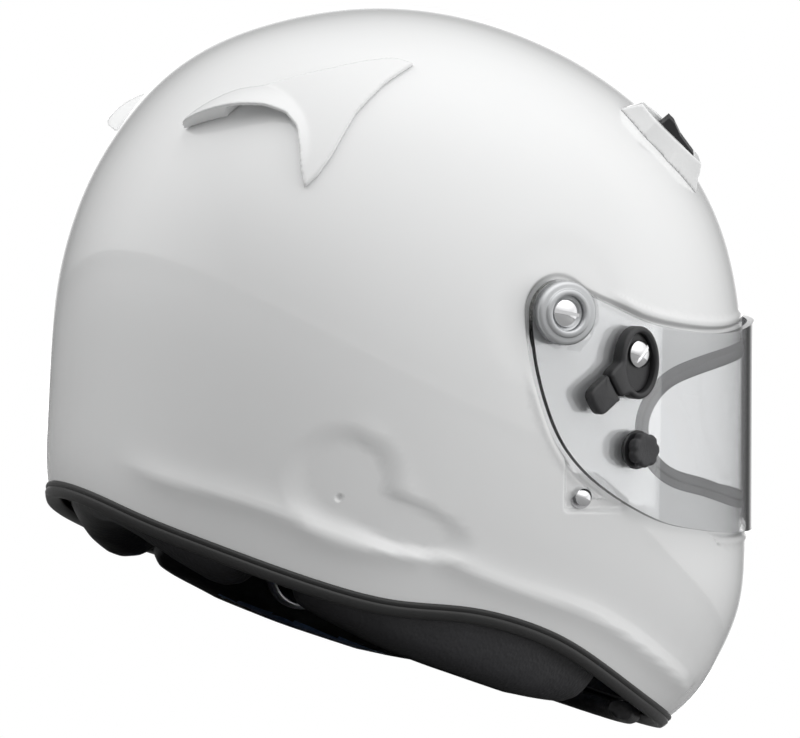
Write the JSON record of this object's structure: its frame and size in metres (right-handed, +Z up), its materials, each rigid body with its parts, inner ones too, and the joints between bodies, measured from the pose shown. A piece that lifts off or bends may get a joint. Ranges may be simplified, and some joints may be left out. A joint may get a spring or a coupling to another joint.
{
  "type": "auto racing helmet",
  "caption": "Full-face auto racing helmet with a clear hinged visor, side locks, tear-off posts, rear exhaust covers, sliding forehead intakes, padded liner and D-ring chin strap.",
  "frame": {"origin": "middle of the bounding box's bottom face, on the surface the helmet stands on", "axes": "+Z up, the face looks along -Y and is tilted up by 21 degrees, the wearer's left is +X"},
  "size_m": [0.2624, 0.3426, 0.2732],
  "materials": {
    "shell_paint": "gloss",
    "black_rubber": "matt",
    "liner_foam": "matt foam",
    "comfort_cloth": "brushed velour",
    "pad_vinyl": "fine grain",
    "strap_web": "woven webbing",
    "steel": "brushed",
    "chrome": "polished",
    "satin_alloy": "satin",
    "visor_clear": "gloss",
    "black_plastic": "satin gloss",
    "grey_plastic": "textured",
    "filter_foam": "open foam",
    "nylon": "matt"
  },
  "bodies": {
    "helmet": {"outer_shell": "shell_paint", "eye_port_gasket": "black_rubber", "base_edge_trim": "black_rubber", "impact_liner": "liner_foam", "chin_liner": "liner_foam", "chin_filter": "filter_foam", "crown_pad": "comfort_cloth", "brow_pad": "comfort_cloth", "head_band_pad": "comfort_cloth", "neck_roll": "pad_vinyl", "chin_lip_pad": "pad_vinyl", "chin_strap_left": "strap_web", "chin_strap_right": "strap_web", "exhaust_cover_left": "shell_paint", "exhaust_cover_right": "shell_paint", "intake_cover_left": "shell_paint", "intake_cover_right": "shell_paint", "stay_washer_left": "steel", "stay_washer_right": "steel", "stay_stud_left": "chrome", "stay_stud_right": "chrome", "cheek_pad_left": "pad_vinyl", "cheek_pad_right": "pad_vinyl", "strap_anchor_left": "steel", "strap_anchor_right": "steel", "pivot_bush_left": "nylon", "pivot_bush_right": "nylon", "pivot_disc_left": "satin_alloy", "pivot_disc_right": "satin_alloy", "pivot_screw_left": "chrome", "pivot_screw_right": "chrome", "pivot_nut_left": "steel", "pivot_nut_right": "steel"},
    "visor": {"visor": "visor_clear", "lock_ring_left": "black_plastic", "lock_ring_right": "black_plastic", "lock_screw_left": "chrome", "lock_screw_right": "chrome", "tear_off_base_left": "grey_plastic", "tear_off_base_right": "grey_plastic", "tear_off_cap_left": "grey_plastic", "tear_off_cap_right": "grey_plastic"},
    "lock_lever_left": {"lock_lever_left": "black_plastic"},
    "lock_lever_right": {"lock_lever_right": "black_plastic"},
    "intake_slider_left": {"intake_slider_left": "black_plastic"},
    "intake_slider_right": {"intake_slider_right": "black_plastic"},
    "d_ring_outer": {"d_ring_outer": "steel"},
    "d_ring_inner": {"d_ring_inner": "steel"}
  },
  "joints": [
    {"name": "visor_hinge", "type": "hinge", "parent": "helmet", "child": "visor", "pos_m": [0, 0.0101, 0.1522], "axis": [-1, 0, 0], "range_deg": [0, 40]},
    {"name": "lock_lever_left_slide", "type": "slide", "parent": "visor", "child": "lock_lever_left", "axis": [0.2156, 0.5469, -0.8089], "range_m": [0, 0.0035]},
    {"name": "intake_left_slide", "type": "slide", "parent": "helmet", "child": "intake_slider_left", "axis": [-0.0064, 0.9396, 0.3422], "range_m": [0, 0.008]},
    {"name": "lock_lever_right_slide", "type": "slide", "parent": "visor", "child": "lock_lever_right", "axis": [-0.2156, 0.5469, -0.8089], "range_m": [0, 0.0035]},
    {"name": "intake_right_slide", "type": "slide", "parent": "helmet", "child": "intake_slider_right", "axis": [0.0064, 0.9396, 0.3422], "range_m": [0, 0.008]},
    {"name": "d_ring_outer_hinge", "type": "hinge", "parent": "helmet", "child": "d_ring_outer", "pos_m": [0.05375, 0.005, 0.029], "axis": [0, 1, 0], "range_deg": [-12, 0]},
    {"name": "d_ring_inner_hinge", "type": "hinge", "parent": "helmet", "child": "d_ring_inner", "pos_m": [0.05025, 0.005, 0.029], "axis": [0, 1, 0], "range_deg": [0, 60]}
  ]
}
